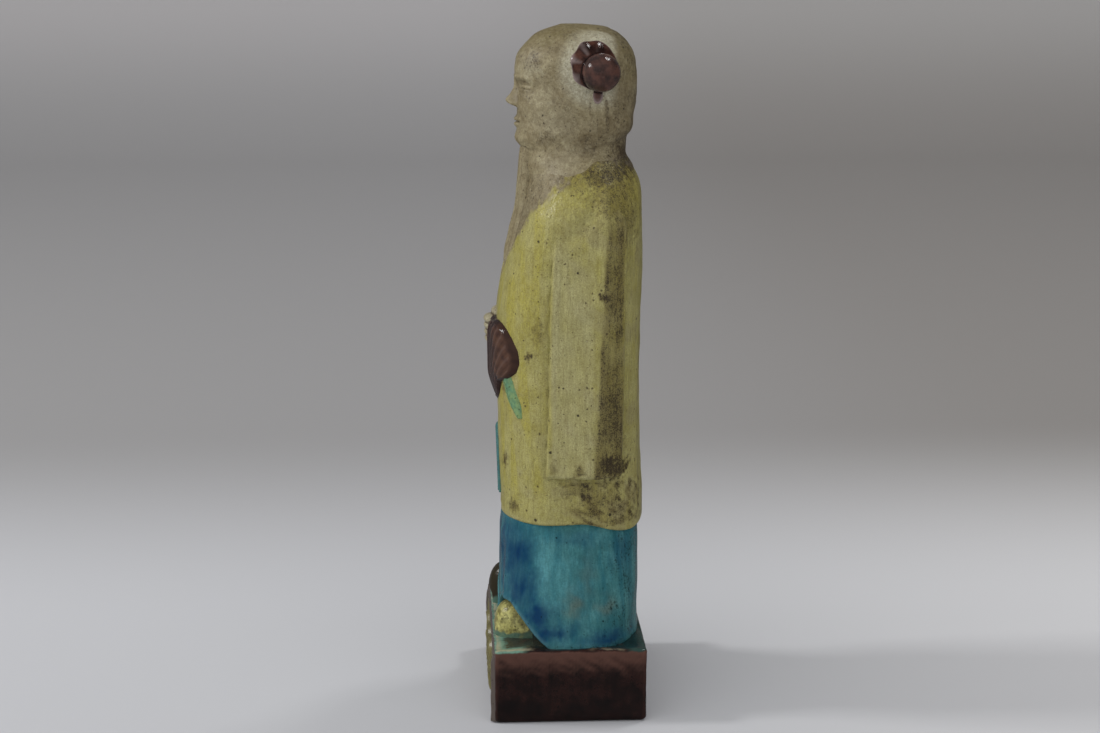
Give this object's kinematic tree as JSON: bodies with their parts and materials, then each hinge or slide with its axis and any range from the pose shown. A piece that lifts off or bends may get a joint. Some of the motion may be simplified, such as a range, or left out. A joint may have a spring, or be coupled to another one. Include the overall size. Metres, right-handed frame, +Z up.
{
  "type": "ceramic sage figurine",
  "caption": "Standing robed sage with a long beard, side hair knots and a leaf fan, on a rectangular block base; one fired piece of coloured glazed ceramic that stands on its flat underside",
  "frame": {"origin": "middle of the base's flat underside, on the ground", "axes": "+Z up along the standing figure, the figure faces -Y, its own left side is +X"},
  "size_m": [0.0616, 0.0444, 0.1885],
  "materials": {
    "yellow_glaze": "thin mottled yellow lead glaze on the robe, with brown grime in the hollows",
    "turquoise_glaze": "glossy turquoise glaze on the skirt, pooled deep blue at the front and foot",
    "aubergine_glaze": "glossy brown purple glaze on the base, the fan and the hair knots",
    "biscuit": "thin greyed cream glaze over pale biscuit on head, neck and beard, with fine dark specks"
  },
  "bodies": {
    "root": {"figurine": "yellow_glaze"}
  },
  "joints": []
}
